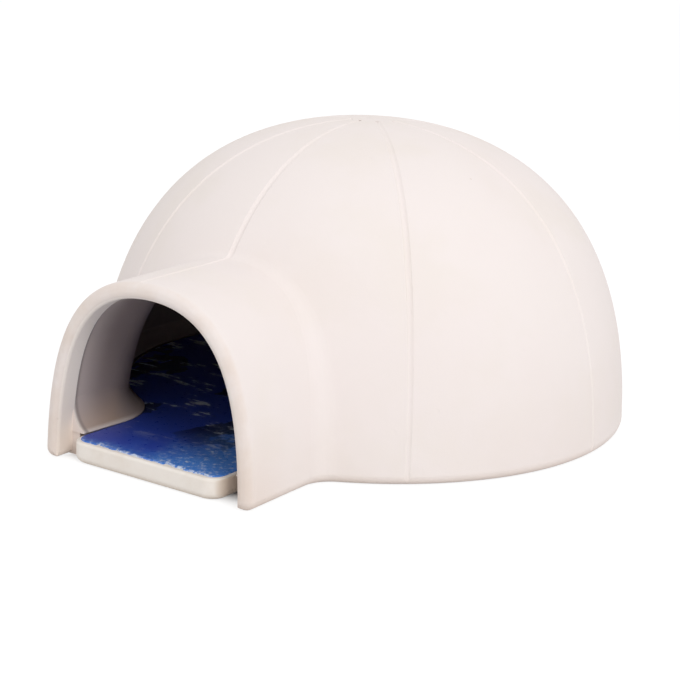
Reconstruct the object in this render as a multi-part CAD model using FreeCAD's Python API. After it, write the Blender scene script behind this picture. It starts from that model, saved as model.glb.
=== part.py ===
import FreeCAD, Part
import os

V = FreeCAD.Vector

# A small animal house in two pieces of kiln ware: a slip-cast dome with an entrance tunnel, and a loose
# plate with a glazed top under it. The floor is z = 0, the dome's axis is Z and the entrance faces -Y.
# All sizes are millimetres.

# Dome outline: one curve, upright at the foot and level at the crown.
dome_radius = 80.0
dome_height = 86.6
dome_side_pull = 83.0      # how far the curve holds to the upright side
dome_crown_pull = 26.0     # how far it holds to the level crown

# Entrance tunnel: an arch of the same kind, whose ridge climbs a little towards the dome.
tunnel_front = 103.0       # front face, measured from the dome's axis
tunnel_half_width = 34.5
tunnel_height = 52.7
tunnel_climb = 3.2         # rise of the ridge between the front face and the dome's axis
tunnel_side_pull = 30.5
tunnel_crown_pull = 29.5

# Walls of the casting.
wall = 3.8
lip_width = 4.4            # the rim round the mouth, thicker than the wall behind it
lip_depth = 6.5
foot_ledge = 3.4           # flange round the inside of the foot, in from the wall
foot_height = 7.0
foot_width = wall + foot_ledge

# Roundings left by the mould and by sponging.
valley_foot_round = 8.5    # between dome and tunnel, outside, at the floor
valley_ridge_round = 4.0   # and at the tunnel's ridge
valley_inner_round = 19.0  # the same corner inside
well_root = valley_inner_round + foot_ledge
outer_round = 2.5          # outside of the lip and of the foot
lip_inner_round = 1.6
foot_inner_round = 1.0
foot_edge_round = 0.7      # top edge of the flange
foot_cove = 1.6            # hollow rounding from the flange up to the wall

# Grooves that divide the dome into panels: the track of a round bar, shallower towards the crown.
groove_radius = 1.15
groove_foot_lift = 0.84    # height of the bar's centre over the surface at the foot and along the tunnel
groove_crown_lift = 0.95
groove_crown_gap = 7.0     # where a groove stops, short of the axis
groove_left_angle = -31.0  # seen from above, from the entrance towards +X
groove_front_angle = -1.4
groove_right_angle = 42.0
groove_flank_angle = 88.0
groove_rear_count = 4      # shared out evenly over the far side

# Loose base plate: a disc inside the foot flange, and a tongue that runs out through the tunnel.
plate_thickness = 6.0
plate_gap = 1.0            # round the disc
plate_turn = -0.8          # the plate lies a little askew, as far as its gaps let it
tongue_gap = 2.3           # each side of the tongue
tongue_setback = 0.7       # from the front face back to the tongue
tongue_corner = 5.0
plate_top_round = 0.8
plate_foot_round = 2.2

# Glaze fired on the plate's top, short of its rounded edge.
glaze_thickness = 0.35
glaze_border = 0.2
glaze_front_border = 0.5

# Solids start below the floor and are cut level with it.
dig = 5.0
tolerance = 0.001


class Bell:
    """Half of a bell-shaped outline in the XZ plane, as one cubic curve from foot to crown."""

    def __init__(self, half, rise, side_pull, crown_pull):
        self.half = half
        self.rise = rise
        self.side_pull = side_pull
        self.crown_pull = crown_pull

    def poles(self):
        return [V(self.half, 0, -dig), V(self.half, 0, self.side_pull - dig),
                V(self.crown_pull, 0, self.rise), V(0, 0, self.rise)]

    def inset(self, depth):
        """The bell inside this one: its foot, its crown and the middle of its curve lie in by depth."""
        # The middle of a cubic is an eighth of each end pole plus three eighths of each inner pole.
        foot, side, shoulder, crown = self.poles()
        along = (crown + shoulder - side - foot).normalize()
        side_loss = (-along.x * 8 - 4) / 3 * depth
        crown_loss = (along.z * 8 - 4) / 3 * depth
        return Bell(self.half - depth, self.rise - depth,
                    self.side_pull - side_loss, self.crown_pull - crown_loss)

    def curve(self):
        bezier = Part.BezierCurve()
        bezier.setPoles(self.poles())
        return bezier

    def arch(self, y):
        """The whole outline as a closed wire in the plane at y."""
        right = self.curve().toShape()
        left = right.mirror(V(0, 0, 0), V(1, 0, 0))
        base = Part.LineSegment(V(-self.half, 0, -dig), V(self.half, 0, -dig)).toShape()
        wire = Part.Wire(Part.__sortEdges__([right, left, base]))
        wire.translate(V(0, y, 0))
        return wire


dome_bell = Bell(dome_radius, dome_height, dome_side_pull, dome_crown_pull)
groove_bell = Bell(dome_radius + groove_foot_lift, dome_height + groove_crown_lift,
                   dome_side_pull, dome_crown_pull)


def tunnel_bell(y):
    climb = tunnel_climb * (y + tunnel_front) / tunnel_front
    return Bell(tunnel_half_width, tunnel_height + climb, tunnel_side_pull, tunnel_crown_pull)


def slab(bottom, top):
    """A block wider than the object, between two heights."""
    reach = 2 * (dome_radius + tunnel_front)
    return Part.makeBox(2 * reach, 2 * reach, top - bottom, V(-reach, -reach, bottom))


def touches(shell, edge):
    middle = edge.valueAt((edge.FirstParameter + edge.LastParameter) / 2)
    return Part.Vertex(middle).distToShape(shell)[0] < tolerance


def flat_at(axis, value):
    """A test for edges that lie in the plane where the coordinate has the value."""
    def test(edge):
        box = edge.BoundBox
        return max(abs(getattr(box, axis + end) - value) for end in ("Min", "Max")) < tolerance
    return test


def turned(bell):
    """The solid that a bell makes when it is turned about the dome's axis."""
    foot, base, crown = V(bell.half, 0, -dig), V(0, 0, -dig), V(0, 0, bell.rise)
    edges = [bell.curve().toShape(), Part.LineSegment(crown, base).toShape(),
             Part.LineSegment(base, foot).toShape()]
    return Part.Face(Part.Wire(edges)).revolve(V(0, 0, 0), V(0, 0, 1), 360)


def passage(depth, front, back):
    """The tunnel's outline, inset by depth, run from one Y to another."""
    return Part.makeLoft([tunnel_bell(y).inset(depth).arch(y) for y in (front, back)], True, True)


def joined(dome, tunnel, foot_round, ridge_round, bottom, top):
    """Dome and tunnel as one solid between two heights. The valley between them is rounded on one half,
    from its foot to the ridge, and the half is mirrored."""
    reach = 2 * (dome_radius + tunnel_front)
    right = Part.makeBox(reach, 2 * reach, top - bottom, V(0, -reach, bottom))
    half = dome.fuse(tunnel).common(right).removeSplitter().Solids[0]
    ends = [flat_at("X", 0), flat_at("Z", bottom), flat_at("Z", top)]
    valley = [e for e in half.Edges if touches(dome.Shells[0], e) and touches(tunnel.Shells[0], e)
              and not any(at_end(e) for at_end in ends)]
    half = half.makeFillet(foot_round, ridge_round, valley)
    return half.fuse(half.mirror(V(0, 0, 0), V(1, 0, 0))).removeSplitter().Solids[0]


def upright(edge):
    return abs(edge.tangentAt(edge.FirstParameter).z) > 1 - tolerance


def keyhole(radius, half, front, root, bottom, height):
    """A disc with a tongue towards the entrance, in one outline, with the corners between them rounded."""
    disc = Part.makeCylinder(radius, height, V(0, 0, bottom))
    tongue = Part.makeBox(2 * half, front, height, V(-half, -front, bottom))
    body = disc.fuse(tongue).removeSplitter()
    on_side = [e for e in body.Edges if upright(e) and (flat_at("X", half)(e) or flat_at("X", -half)(e))]
    return body.makeFillet(root, [e for e in on_side if not flat_at("Y", -front)(e)]).Solids[0]


def mouth():
    """The opening in the lip, flared at the front face and at the floor by the lip's inner rounding."""
    reach = 2 * tunnel_half_width
    front, back = -tunnel_front, lip_depth - tunnel_front
    corner = V(-reach, front - dig, -dig)
    opening = passage(lip_width, front - dig, back)
    ahead = Part.makeBox(2 * reach, dig, tunnel_height + 2 * dig, corner)
    below = Part.makeBox(2 * reach, dig + lip_depth, dig, corner)
    cutter = opening.fuse([ahead, below]).removeSplitter().Solids[0]
    rim = [e for e in cutter.Edges if (flat_at("Y", front)(e) or flat_at("Z", 0)(e))
           and touches(opening.Shells[0], e) and not flat_at("Y", back)(e)]
    return cutter.makeFillet(lip_inner_round, rim)


def well():
    """The opening inside the flange, flared by the rounding of the flange's upper edge."""
    front = tunnel_front - lip_depth
    shaft = keyhole(dome_radius - foot_width, tunnel_half_width - foot_width, front,
                    well_root, -dig, dig + foot_height)
    cutter = shaft.fuse(slab(foot_height, foot_height + dig)).removeSplitter().Solids[0]
    brim = [e for e in cutter.Edges if flat_at("Z", foot_height)(e) and touches(shaft.Shells[0], e)
            and not flat_at("Y", -front)(e)]
    return cutter.makeFillet(foot_edge_round, brim).common(slab(-dig, foot_height)).Solids[0]


def casting():
    """The shell before its grooves: the outside, less the room, the well inside the flange, and the mouth."""
    on_front = flat_at("Y", -tunnel_front)
    on_floor = flat_at("Z", 0)
    on_flange = flat_at("Z", foot_height)
    behind_lip = flat_at("Y", lip_depth - tunnel_front)
    body = joined(turned(dome_bell), passage(0, -tunnel_front, 0),
                  valley_foot_round, valley_ridge_round, 0, 2 * dome_height)
    body = body.makeFillet(outer_round, [e for e in body.Edges if on_front(e) or on_floor(e)])
    room = joined(turned(dome_bell.inset(wall)), passage(wall, lip_depth - tunnel_front, 0),
                  valley_inner_round, valley_inner_round, foot_height, 2 * dome_height)
    room = room.makeFillet(foot_cove, [e for e in room.Edges if on_flange(e) and not behind_lip(e)])
    opening = well()
    shell = body.cut(room).cut(opening).cut(mouth()).Solids[0]
    return shell.makeFillet(foot_inner_round, [e for e in shell.Edges if on_floor(e) and not behind_lip(e)
                                               and touches(opening.Shells[0], e)])


def bar(edges):
    """A round bar along a path that starts with the first edge."""
    path = Part.Wire(edges)
    start = edges[0].valueAt(edges[0].FirstParameter)
    section = Part.makeCircle(groove_radius, start, edges[0].tangentAt(edges[0].FirstParameter))
    return path.makePipeShell([Part.Wire(section)], True, False)


def up_dome(curve, start):
    """The bar's path in the XZ plane, from a parameter of its curve to where a groove stops."""
    return curve.toShape(start, curve.parameter(V(groove_crown_gap, 0, dome_height)))


def dome_bar():
    """A bar up the dome, in the XZ plane, from below the floor to near the axis."""
    curve = groove_bell.curve()
    return bar([up_dome(curve, curve.FirstParameter)])


def front_bar():
    """A bar over the tunnel's ridge, through the rounded valley and up the dome, in the XZ plane."""
    curve = groove_bell.curve()
    start, inner = [V(x, 0, tunnel_bell(-x).rise + groove_foot_lift) for x in (tunnel_front + dig, 0)]
    along = (inner - start).normalize()
    up = V(along.z, 0, -along.x)
    radius = valley_ridge_round - groove_foot_lift
    lifted = Part.LineSegment(start + up * radius, inner + up * radius).toShape()
    grown = Part.OffsetCurve(curve, radius, V(0, -1, 0)).toShape()
    centre = lifted.distToShape(grown)[1][0][0]
    climb = curve.parameter(centre)
    low, high = centre - up * radius, curve.value(climb)
    middle = centre + (low + high - centre * 2).normalize() * radius
    return bar([Part.LineSegment(start, low).toShape(), Part.Arc(low, middle, high).toShape(),
                up_dome(curve, climb)])


def dome_shell():
    rear_step = (360 + groove_left_angle - groove_flank_angle) / (groove_rear_count + 1)
    angles = [groove_left_angle, groove_right_angle, groove_flank_angle]
    angles += [groove_flank_angle + rear_step * (n + 1) for n in range(groove_rear_count)]
    shell = casting()
    for tool, angle in [(front_bar(), groove_front_angle)] + [(dome_bar(), angle) for angle in angles]:
        tool.rotate(V(0, 0, 0), V(0, 0, 1), angle - 90)
        shell = shell.cut(tool)
    return shell.Solids[0]


def plate_blank(inset, front_inset, bottom, height):
    """The plate's outline, inset from its edge, as a flat body that lies a little askew."""
    blank = keyhole(dome_radius - foot_width - plate_gap - inset,
                    tunnel_half_width - foot_width - tongue_gap - inset,
                    tunnel_front - tongue_setback - front_inset, well_root + inset, bottom, height)
    front = blank.BoundBox.YMin
    corners = [e for e in blank.Edges if upright(e) and flat_at("Y", front)(e)]
    blank = blank.makeFillet(tongue_corner - inset, corners)
    blank.rotate(V(0, 0, 0), V(0, 0, 1), plate_turn)
    return blank


def base_plate():
    blank = plate_blank(0, 0, 0, plate_thickness)
    blank = blank.makeFillet(plate_top_round, [e for e in blank.Edges if flat_at("Z", plate_thickness)(e)])
    return blank.makeFillet(plate_foot_round, [e for e in blank.Edges if flat_at("Z", 0)(e)])


def glaze_coat():
    return plate_blank(plate_top_round + glaze_border, plate_top_round + glaze_front_border,
                       plate_thickness, glaze_thickness)


os.makedirs("parts", exist_ok=True)
for name, shape in (("dome_shell", dome_shell()), ("base_plate", base_plate()), ("glaze_coat", glaze_coat())):
    shape.exportStep("parts/" + name + ".step")
    print(name, len(shape.Solids), "solid", len(shape.Faces), "faces", round(shape.Volume / 1000, 1), "cm3",
          "valid" if shape.isValid() else "not valid")
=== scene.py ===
import math

import bmesh
import bpy
from mathutils import Matrix, Vector, noise


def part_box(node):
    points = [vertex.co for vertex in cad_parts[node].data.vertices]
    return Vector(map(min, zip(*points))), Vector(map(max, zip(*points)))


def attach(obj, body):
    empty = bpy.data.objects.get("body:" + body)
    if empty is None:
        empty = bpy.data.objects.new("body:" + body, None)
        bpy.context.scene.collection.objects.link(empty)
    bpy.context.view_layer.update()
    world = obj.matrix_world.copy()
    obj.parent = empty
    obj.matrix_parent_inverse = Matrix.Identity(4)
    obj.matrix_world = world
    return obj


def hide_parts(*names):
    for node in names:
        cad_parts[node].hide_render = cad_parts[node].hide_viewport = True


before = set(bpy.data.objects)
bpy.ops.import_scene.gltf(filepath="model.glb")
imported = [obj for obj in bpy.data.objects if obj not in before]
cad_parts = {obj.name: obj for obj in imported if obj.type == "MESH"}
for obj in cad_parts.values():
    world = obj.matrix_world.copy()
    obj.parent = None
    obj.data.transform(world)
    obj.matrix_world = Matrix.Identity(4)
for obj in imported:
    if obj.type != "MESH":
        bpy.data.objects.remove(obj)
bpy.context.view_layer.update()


# The dome: one slip-cast shell of white earthenware with its entrance tunnel, grooves and foot flange.
# It is fired once and left unglazed, so the skin is a dry, faintly pink off-white with a fine tooth,
# warmer where the sponge thinned the slip on the lip and foot. Inside, the colour is painted dark as shade,
# less dark near the floor, with painted light near the mouth, painted highlights on the lip's inner face
# and the toe, and a painted shade line behind the lip.

class Feed:
    """A socket in a finish's node tree. Sums written with feeds add the Math nodes they need."""

    def __init__(self, tree, socket=None):
        self.tree, self.socket = tree, socket

    def node(self, kind, settings=(), inputs=(), output=0):
        made = self.tree.nodes.new(kind)
        for name, value in dict(settings).items():
            setattr(made, name, value)
        for name, value in dict(inputs).items():
            if isinstance(value, Feed):
                self.tree.links.new(value.socket, made.inputs[name])
            else:
                made.inputs[name].default_value = value
        return Feed(self.tree, made.outputs[output] if len(made.outputs) else None)

    def sum_of(self, operation, first, second):
        return self.node("ShaderNodeMath", {"operation": operation}, {0: first, 1: second})

    def __add__(self, other):
        return self.sum_of("ADD", self, other)

    __radd__ = __add__

    def __sub__(self, other):
        return self.sum_of("SUBTRACT", self, other)

    def __rsub__(self, other):
        return self.sum_of("SUBTRACT", other, self)

    def __mul__(self, other):
        return self.sum_of("MULTIPLY", self, other)

    __rmul__ = __mul__

    def __abs__(self):
        return self.sum_of("ABSOLUTE", self, 0.0)

    def highest(self, other):
        return self.sum_of("MAXIMUM", self, other)

    def rise(self, low, high):
        """0 up to low and 1 from high on, with a soft slope between. It falls where low is the larger."""
        return self.node("ShaderNodeMapRange", {"interpolation_type": "SMOOTHSTEP"},
                         {"Value": self, "From Min": low, "From Max": high})

    def axis(self, number):
        return self.node("ShaderNodeSeparateXYZ", {}, {0: self}, number)

    def stretched(self, scale):
        return self.node("ShaderNodeVectorMath", {"operation": "MULTIPLY"}, {0: self, 1: scale})

    def clouds(self, scale, detail=4.0, roughness=0.55):
        return self.node("ShaderNodeTexNoise", {},
                         {"Vector": self, "Scale": scale, "Detail": detail, "Roughness": roughness})

    def specks(self, scale, size, share, core=0.35, sure=0.6):
        """Round specks at a share of the cells of a cell pattern, 1 within a speck's core."""
        cells = {"Vector": self, "Scale": scale}
        reach = self.node("ShaderNodeTexVoronoi", {}, cells, "Distance")
        pick = self.node("ShaderNodeTexVoronoi", {}, cells, "Color").axis(0)
        return reach.rise(size, size * core) * pick.rise(1 - share, 1 - share * sure)

    def warped(self, scale, reach):
        """Coordinates pushed about by noise, so that round cells turn ragged."""
        push = self.node("ShaderNodeTexNoise", {}, {"Vector": self, "Scale": scale, "Detail": 3.0}, "Color")
        return self.node("ShaderNodeVectorMath", {"operation": "MULTIPLY_ADD"},
                         {0: push, 1: (reach, reach, reach), 2: self})

    def tinted(self, plain, other):
        return self.node("ShaderNodeMix", {"data_type": "RGBA"}, {0: self, 6: plain, 7: other}, 2)

    def bumped(self, distance, strength=1.0):
        return self.node("ShaderNodeBump", {}, {"Height": self, "Distance": distance, "Strength": strength})


def new_finish(name):
    material = bpy.data.materials.new(name)
    material.use_nodes = True
    material.node_tree.nodes.clear()
    return material, Feed(material.node_tree)


def surfaced(start, **sockets):
    """Ends a finish's tree with its shader, whose sockets are named with _ for a space."""
    shader = start.node("ShaderNodeBsdfPrincipled", {},
                        {name.replace("_", " "): value for name, value in sockets.items()})
    start.node("ShaderNodeOutputMaterial", {}, {"Surface": shader})


bisque, start = new_finish("bisque")
place = start.node("ShaderNodeTexCoord", {}, {}, "Object")
facing = start.node("ShaderNodeTexCoord", {}, {}, "Normal")
bisque_white = (0.865, 0.792, 0.768, 1)
bisque_cream = (0.835, 0.762, 0.708, 1)
bisque_blush = (0.842, 0.755, 0.730, 1)
lip_sand = (0.74, 0.60, 0.50, 1)
lit_lip_pale = (0.95, 0.865, 0.80, 1)
painted_shade_clay = (0.38, 0.305, 0.285, 1)
low_inside_shade = (0.45, 0.33, 0.262, 1)
lit_mouth_clay = (0.60, 0.515, 0.485, 1)
toe_highlight = (0.74, 0.66, 0.62, 1)
step_shade = (0.30, 0.25, 0.235, 1)
speck_brown = (0.66, 0.56, 0.49, 1)
lip_back, lip_front, lip_round = -0.0968, -0.1022, 0.0016
step_round, step_near, step_far = 0.0012, 0.0014, 0.0022
tunnel_back, tunnel_fade, toe_fade_back, toe_fade_front = -0.075, 0.012, 0.004, 0.006
glow_back, glow_front, stain_back = 0.013, 0.001, 0.018
room_pull, turned_out, turned_in = (1.0, 0.35, 1.0), 0.004, -0.010
rim_low, rim_high, stain_low, stain_high = 0.0005, 0.0035, 0.002, 0.025
shade_fade_low, shade_fade_high, toe_top, toe_highlight_low = 0.005, 0.017, 0.0068, 0.0076
blotches = place.clouds(38.0, 3.0).rise(0.42, 0.68)
blush = place.clouds(17.0, 2.0).rise(0.45, 0.75)
grain = place.clouds(2600.0, 2.0, 0.6)
skin = place.clouds(420.0, 4.0, 0.62)
pits = place.specks(260.0, 0.20, 0.10)
dirt = place.specks(70.0, 0.030, 0.12)
height, depth = place.axis(2), place.axis(1)
from_axis = facing.node("ShaderNodeVectorMath", {"operation": "DOT_PRODUCT"},
                        {0: facing, 1: place.stretched(room_pull)}, "Value")
inward = from_axis.rise(turned_out, turned_in)
behind_lip = depth.rise(lip_back, lip_back + step_round)
off_floor = height.rise(shade_fade_low, shade_fade_high).highest(depth.rise(tunnel_back - tunnel_fade, tunnel_back))
near_mouth = depth.rise(lip_back + glow_back, lip_back + glow_front)
step_line = depth.rise(lip_back + step_far, lip_back + step_near)
in_tunnel = depth.rise(tunnel_back + toe_fade_back, tunnel_back - toe_fade_front)
toe_edge = height.rise(toe_highlight_low, toe_top) * in_tunnel
lip_edge = depth.rise(lip_front + lip_round, lip_front) * place.clouds(120.0).rise(0.25, 0.75)
lip_inner = inward * depth.rise(lip_back + step_round, lip_back)
lip_foot = height.rise(stain_high, stain_low) * depth.rise(lip_back + stain_back, lip_front)
foot_rim = height.rise(rim_high, rim_low)
colour = (blotches * 0.5).tinted(bisque_white, bisque_cream)
colour = (blush * 0.5).tinted(colour, bisque_blush)
colour = (lip_edge * 0.45).highest(foot_rim * 0.35).tinted(colour, lip_sand)
# Painted light: the lip's inner face is coloured lighter and warmer than the bisque, for the light it
# catches.
colour = lip_inner.tinted(colour, lit_lip_pale)
colour = (lip_foot * 0.4).tinted(colour, lip_sand)
colour = (dirt * 0.5).tinted(colour, speck_brown)
# Painted shade: inside the room and tunnel the colour is dark for the shade there, less dark near the
# tunnel's floor.
painted_inside_shade = off_floor.tinted(low_inside_shade, painted_shade_clay)
# Painted light: the inside wall near the mouth is coloured lighter, where light comes in.
painted_inside_shade = (near_mouth * (0.2 + off_floor * 0.55)).tinted(painted_inside_shade, lit_mouth_clay)
# Painted highlight: a pale line along the toe's upper edge in the tunnel.
painted_inside_shade = (toe_edge * 0.8).tinted(painted_inside_shade, toe_highlight)
painted_inside_shade = (step_line * 0.7).tinted(painted_inside_shade, step_shade)
colour = (inward * behind_lip).tinted(colour, painted_inside_shade)
surfaced(start, Base_Color=colour, Roughness=0.62 + skin * 0.22, Specular_IOR_Level=0.30,
         Normal=(skin * 0.6 + grain * 0.35 - pits * 0.8).bumped(0.00010, 0.45))
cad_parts["dome_shell"].data.materials[0] = bisque


# The foot cove: a hollow sweep of the dome's own clay, from the inner wall down to a thin toe at the plate.
# It is cast with the dome, runs round the whole room and ends at the back of the lip on both sides,
# where the toe draws back a little towards the mouth.

weld, skim, cut_weld = 1e-6, 1e-5, 1e-7


def glaze_sheet():
    """The top of the CAD glaze as one flat face."""
    sheet = bmesh.new()
    sheet.from_mesh(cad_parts["glaze_coat"].data)
    bmesh.ops.remove_doubles(sheet, verts=sheet.verts, dist=weld)
    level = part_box("glaze_coat")[1].z - skim
    lower = [face for face in sheet.faces if face.calc_center_median().z < level]
    bmesh.ops.delete(sheet, geom=lower, context="FACES")
    bmesh.ops.dissolve_faces(sheet, faces=sheet.faces)
    return sheet


def piece_from(shape, name, finish):
    """A finished piece from a bmesh, which is freed."""
    mesh = bpy.data.meshes.new(name)
    shape.to_mesh(mesh)
    shape.free()
    mesh.materials.append(finish)
    piece = bpy.data.objects.new(name, mesh)
    bpy.context.scene.collection.objects.link(piece)
    return piece


plate_askew = math.radians(0.8)
toe_out, toe_under, toe_nose = 0.0005, 0.00642, 0.0001
cove_reach, cove_rise, cove_back = 0.0051, 0.0084, 0.006375
toe_flare, flare_back, flare_length = 0.0011, -0.078, 0.018
cove_steps, toe_slope, wall_lean = 10, math.radians(24), math.radians(98)
profile = [(toe_out + cove_back, toe_under), (toe_out, toe_under),
           (toe_out - toe_nose, (toe_under + toe_top) / 2)]
for step in range(cove_steps + 1):
    sweep = toe_slope + (wall_lean - toe_slope) * step / cove_steps
    across = (math.sin(sweep) - math.sin(toe_slope)) / (1 - math.sin(toe_slope))
    up = 1 - math.cos(sweep) / math.cos(toe_slope)
    profile.append((toe_out + cove_reach * across, toe_top + cove_rise * up))
# The plate's outline is turned square to the dome. Its rings are stacked a metre apart while they are made,
# so that a point's height says which point of the profile it becomes.
cove = glaze_sheet()
bmesh.ops.rotate(cove, verts=cove.verts, cent=(0, 0, 0), matrix=Matrix.Rotation(plate_askew, 3, "Z"))
bmesh.ops.delete(cove, geom=list(cove.faces), context="FACES_ONLY")
bmesh.ops.translate(cove, verts=cove.verts, vec=(0, 0, -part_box("glaze_coat")[1].z))
for ring in range(1, len(profile)):
    upper = [edge for edge in cove.edges if all(vert.co.z > ring - 1.5 for vert in edge.verts)]
    made = bmesh.ops.extrude_edge_only(cove, edges=upper)["geom"]
    raised = [part for part in made if isinstance(part, bmesh.types.BMVert)]
    bmesh.ops.translate(cove, verts=raised, vec=(0, 0, 1))
bmesh.ops.recalc_face_normals(cove, faces=cove.faces)
cove.normal_update()
away = 1 if max(cove.verts, key=lambda vert: vert.co.y).normal.y > 0 else -1
ends = [[edge for edge in cove.edges if all(round(vert.co.z) == ring for vert in edge.verts)]
        for ring in (0, len(profile) - 1)]
for vert in cove.verts:
    out, level = profile[round(vert.co.z)]
    to_mouth = min(max((flare_back - vert.co.y) / flare_length, 0.0), 1.0)
    flare = to_mouth * toe_flare * (1 - min((out - toe_out) / cove_reach, 1.0))
    vert.co = vert.co + vert.normal * away * (out + flare)
    vert.co.z = level
for edge in ends[0] + ends[1]:
    edge.smooth = False
bmesh.ops.bridge_loops(cove, edges=ends[0] + ends[1])
bmesh.ops.bisect_plane(cove, geom=cove.verts[:] + cove.edges[:] + cove.faces[:], dist=cut_weld,
                       plane_co=(0, lip_back, 0), plane_no=(0, -1, 0), clear_outer=True)
for face in cove.faces:
    face.smooth = True
open_ends = [edge for edge in cove.edges if edge.is_boundary]
for cap in bmesh.ops.holes_fill(cove, edges=open_ends)["faces"]:
    for edge in cap.edges:
        edge.smooth = False
bmesh.ops.recalc_face_normals(cove, faces=cove.faces)
foot_cove = piece_from(cove, "foot_cove", bisque)
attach(foot_cove, "dome")


# The base plate: a loose tile of the same clay, pressed flat, with a tongue that runs out of the tunnel.
# Its edge is wiped round and left bare, a little sandier than the dome and with open pores.
# It is painted darker as shade on its long sides and where it lies inside the room.

plate_clay, start = new_finish("plate_clay")
place = start.node("ShaderNodeTexCoord", {}, {}, "Object")
facing = start.node("ShaderNodeTexCoord", {}, {}, "Normal")
clay_pale = (0.92, 0.86, 0.80, 1)
clay_sand = (0.72, 0.595, 0.485, 1)
pore_brown = (0.56, 0.46, 0.37, 1)
room_front, room_back = -0.088, -0.072
edge_low, edge_high, side_turn, side_full = 0.0004, 0.0022, 0.6, 0.95
height = place.axis(2)
wiping = place.clouds(95.0, 4.0, 0.6).rise(0.40, 0.75)
pores = place.specks(420.0, 0.20, 0.10)
tooth = place.clouds(1900.0, 3.0, 0.6)
foot_rim = height.rise(edge_high, edge_low)
# Painted shade: the plate's long sides are coloured sandier and darker for the shade and warm bounce they
# get; the wiping and edge marks are the clay's own.
shaded_long_sides = abs(facing.axis(0)).rise(side_turn, side_full)
sandy_and_shaded = (wiping * 0.3).highest(foot_rim * 0.5).highest(shaded_long_sides * 0.8)
colour = sandy_and_shaded.tinted(clay_pale, clay_sand)
colour = (pores * 0.5).tinted(colour, pore_brown)
# Painted shade: where the plate lies inside the room it is coloured dark for the shade there.
colour = (place.axis(1).rise(room_front, room_back) * 0.85).tinted(colour, painted_shade_clay)
surfaced(start, Base_Color=colour, Roughness=0.70 + wiping * 0.18, Specular_IOR_Level=0.25,
         Normal=(tooth * 0.5 + wiping * 0.2 - pores).bumped(0.00010, 0.5))
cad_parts["base_plate"].data.materials[0] = plate_clay


# The glaze: a coat of cobalt glass dabbed on the plate's top and fired, thick enough to round at its rim.
# It breaks to azure and frosty white where it is thin, and stops raggedly short of the front edge.

coat_low, coat_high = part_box("glaze_coat")
bedding = 0.00005
rim_steps = ((0.00008, 0.00014), (0.00012, 0.00010), (0.00018, 0.00006), (0.00025, 0.00002), (0.001, 0.0))
strip_depth, strip_width, strip_cell = 0.009, 0.052, 0.00034
bare_edge, bare_to_right, thinning, sinking = 0.0006, 0.012, 0.0035, 0.0003
tooth_size, nick_size, wave_size = 0.0012, 0.0007, 0.0008
tooth_across, tooth_along, nick_across, nick_along, wave_across = 760, 260, 1900, 1100, 95
coat = glaze_sheet()
top = list(coat.faces)
rim = [edge for edge in coat.edges if edge.is_boundary]
wall = bmesh.ops.extrude_edge_only(coat, edges=rim)["geom"]
foot = [part for part in wall if isinstance(part, bmesh.types.BMVert)]
bmesh.ops.translate(coat, verts=foot, vec=(0, 0, coat_low.z - coat_high.z - bedding))
bmesh.ops.translate(coat, verts=top[0].verts, vec=(0, 0, -sum(rise for width, rise in rim_steps)))
for width, rise in rim_steps:
    bmesh.ops.inset_region(coat, faces=top, thickness=width, use_boundary=True, use_even_offset=True)
    bmesh.ops.translate(coat, verts=top[0].verts, vec=(0, 0, rise))


def score(point, normal, back):
    """Cuts the front strip of the coat along a plane, for the ragged edge to follow."""
    strip = [face for face in coat.faces if face.calc_center_median().y < back]
    parts = {part for face in strip for part in (face, *face.edges, *face.verts)}
    bmesh.ops.bisect_plane(coat, geom=list(parts), dist=cut_weld, plane_co=point, plane_no=normal)


strip_back = coat_low.y + strip_depth
score((0, strip_back, 0), (0, 1, 0), coat_high.y)
across_cuts = int(strip_width / strip_cell)
for number in range(across_cuts):
    score(((number - across_cuts / 2) * strip_cell, 0, 0), (1, 0, 0), strip_back)
for number in range(1, int(strip_depth / strip_cell)):
    score((0, coat_low.y + number * strip_cell, 0), (0, 1, 0), strip_back)
thinness = coat.verts.layers.float.new("thin_glaze")
for vert in coat.verts:
    run = vert.co.y - coat_low.y
    if run < strip_depth and vert.co.z > coat_low.z:
        teeth = noise.noise(Vector((vert.co.x * tooth_across, vert.co.y * tooth_along, 0.3)))
        nicks = noise.noise(Vector((vert.co.x * nick_across, vert.co.y * nick_along, 4.7)))
        waves = noise.noise(Vector((vert.co.x * wave_across, 2.6, 9.1)))
        bare = bare_edge + bare_to_right * max(vert.co.x, 0.0)
        bare += tooth_size * teeth + nick_size * nicks + wave_size * waves
        vert[thinness] = min(max(1 - (run - bare) / thinning, 0.0), 1.0)
        sunk = min(max((bare - run) / sinking, 0.0), 1.0)
        vert.co.z += (coat_low.z - bedding / 2 - vert.co.z) * sunk
bmesh.ops.holes_fill(coat, edges=[edge for edge in coat.edges if edge.is_boundary])
bmesh.ops.recalc_face_normals(coat, faces=coat.faces)
for face in coat.faces:
    face.smooth = True
bmesh.ops.triangulate(coat, faces=[face for face in coat.faces if len(face.verts) > 4])

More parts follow.
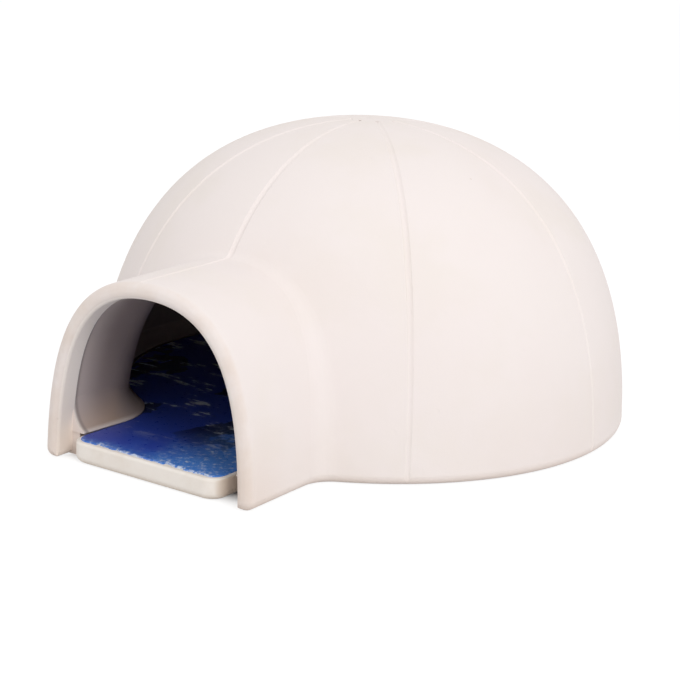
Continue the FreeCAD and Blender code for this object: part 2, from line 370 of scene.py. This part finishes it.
blue_glaze, start = new_finish("blue_glaze")
place = start.node("ShaderNodeTexCoord", {}, {}, "Object")
thin = start.node("ShaderNodeAttribute", {"attribute_name": "thin_glaze"}, {}, "Fac")
cobalt = (0.030, 0.066, 0.420, 1)
azure = (0.075, 0.240, 0.680, 1)
midnight = (0.006, 0.009, 0.030, 1)
frost = (0.72, 0.78, 0.86, 1)
motley_front, motley_back, foam_left, foam_right = -0.090, -0.070, -0.022, -0.008
paler_right, paler_front = 9.0, 3.0
across, along = place.axis(0), place.axis(1)
swirl = place.clouds(30.0, 4.0, 0.6)
mottle = place.clouds(620.0, 4.0, 0.7)
torn = place.warped(260.0, 0.0045)
dabs = place.stretched((0.7, 1.9, 1.0)).clouds(85.0, 6.0, 0.68)
blots = place.warped(110.0, 0.009).stretched((1.5, 0.8, 1.0)).clouds(60.0, 3.0, 0.5)
well_in = along.rise(motley_front, motley_back)
pale = (swirl * 0.9 + across * paler_right - along * paler_front).rise(0.58, 0.86).highest(thin * 0.7)
flecks = torn.specks(330.0, 0.34, 0.55) * pale
colour = (pale * 0.9).tinted(cobalt, azure)
colour = (blots.rise(0.56, 0.60) * well_in * 0.8).tinted(colour, midnight)
colour = (mottle.rise(0.50, 0.66) * pale * 0.5).highest(flecks * 0.7).tinted(colour, frost)
foam = thin.rise(0.75, 1.0) * mottle.rise(0.42, 0.58) * across.rise(foam_left, foam_right)
colour = (dabs.rise(0.55, 0.61) * well_in * 0.9).highest(foam * 0.7).tinted(colour, frost)
surfaced(start, Base_Color=colour, Roughness=0.20 + mottle * 0.20, Specular_IOR_Level=0.3,
         Normal=(swirl * 0.5 + mottle * 0.08).bumped(0.00022, 0.4))
glazed_top = piece_from(coat, "glazed_top", blue_glaze)
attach(glazed_top, "plate")
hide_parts("glaze_coat")


# The studio: a white sweep of paper that the camera sees as plain white outside the object's foot,
# a lit tent round it, and two soft boxes, the stronger one high on the right.

floor_half, paper_grey, paper_lift, paper_white = 3.0, 0.75, 0.70, 1.2
disc_inner, disc_outer = 0.073, 0.079
tongue_inner, tongue_outer = 0.026, 0.032
tongue_end, tongue_clear, room_middle, room_rear = -0.092, -0.102, 0.02, 0.05
floor_shape = bmesh.new()
bmesh.ops.create_grid(floor_shape, x_segments=1, y_segments=1, size=floor_half)
floor_mesh = bpy.data.meshes.new("floor")
floor_shape.to_mesh(floor_mesh)
floor_shape.free()
floor = bpy.data.objects.new("floor", floor_mesh)
bpy.context.scene.collection.objects.link(floor)


def seen_rays(start):
    """1 on rays from the camera, or by way of gloss or glass."""
    rays = [start.node("ShaderNodeLightPath", {}, {}, "Is %s Ray" % name)
            for name in ("Camera", "Glossy", "Transmission")]
    return rays[0].highest(rays[1]).highest(rays[2])


paper, start = new_finish("paper")
place = start.node("ShaderNodeTexCoord", {}, {}, "Object")
across, along = place.axis(0), place.axis(1)
from_middle = place.node("ShaderNodeVectorMath", {"operation": "LENGTH"}, {0: place}, "Value")
clear_of_disc = from_middle.rise(disc_inner, disc_outer)
beyond_tongue = along.rise(tongue_end, tongue_clear).highest(along.rise(room_middle, room_rear))
clear_of_tongue = abs(across).rise(tongue_inner, tongue_outer).highest(beyond_tongue)
seen_white = seen_rays(start) * clear_of_disc * clear_of_tongue * paper_lift
sheet = start.node("ShaderNodeBsdfDiffuse", {}, {"Color": (paper_grey, paper_grey, paper_grey, 1)})
white = start.node("ShaderNodeEmission", {}, {"Color": (1, 1, 1, 1), "Strength": paper_white})
lifted = start.node("ShaderNodeMixShader", {}, {0: seen_white, 1: sheet, 2: white})
start.node("ShaderNodeOutputMaterial", {}, {"Surface": lifted})
floor_mesh.materials.append(paper)

tent_light = 0.74
world = bpy.data.worlds.new("tent")
world.use_nodes = True
world.node_tree.nodes.clear()
start = Feed(world.node_tree)
glow = tent_light + seen_rays(start) * (1 - tent_light)
backdrop = start.node("ShaderNodeBackground", {}, {"Color": (1, 1, 1, 1), "Strength": glow})
start.node("ShaderNodeOutputWorld", {}, {"Surface": backdrop})
bpy.context.scene.world = world


def soft_box(name, size, watts, spot, aim):
    lamp = bpy.data.lights.new(name, "AREA")
    lamp.shape, lamp.size, lamp.energy = "DISK", size, watts
    holder = bpy.data.objects.new(name, lamp)
    holder.location = spot
    holder.rotation_euler = (Vector(spot) - Vector(aim)).to_track_quat("Z", "Y").to_euler()
    bpy.context.scene.collection.objects.link(holder)


dome_middle = (0.0, 0.0, 0.04)
soft_box("soft_box_right", size=0.7, watts=7.6, spot=(1.05, -0.61, 0.95), aim=dome_middle)
soft_box("soft_box_left", size=1.0, watts=1.4, spot=(-0.9, -0.5, 1.0), aim=dome_middle)


# The camera: a short telephoto that stands a little above the dome, in front and to the right.
# It shows the entrance on the left, as the photograph does.

eye = bpy.data.cameras.new("camera")
eye.lens, eye.sensor_width = 87.59, 36.0
camera = bpy.data.objects.new("camera", eye)
camera.location = (0.26081, -0.41417, 0.14501)
camera.rotation_euler = [math.radians(turn) for turn in (75.4822, -2.6130, 33.6718)]
bpy.context.scene.collection.objects.link(camera)
bpy.context.scene.camera = camera
bpy.context.scene.view_settings.view_transform = "Standard"
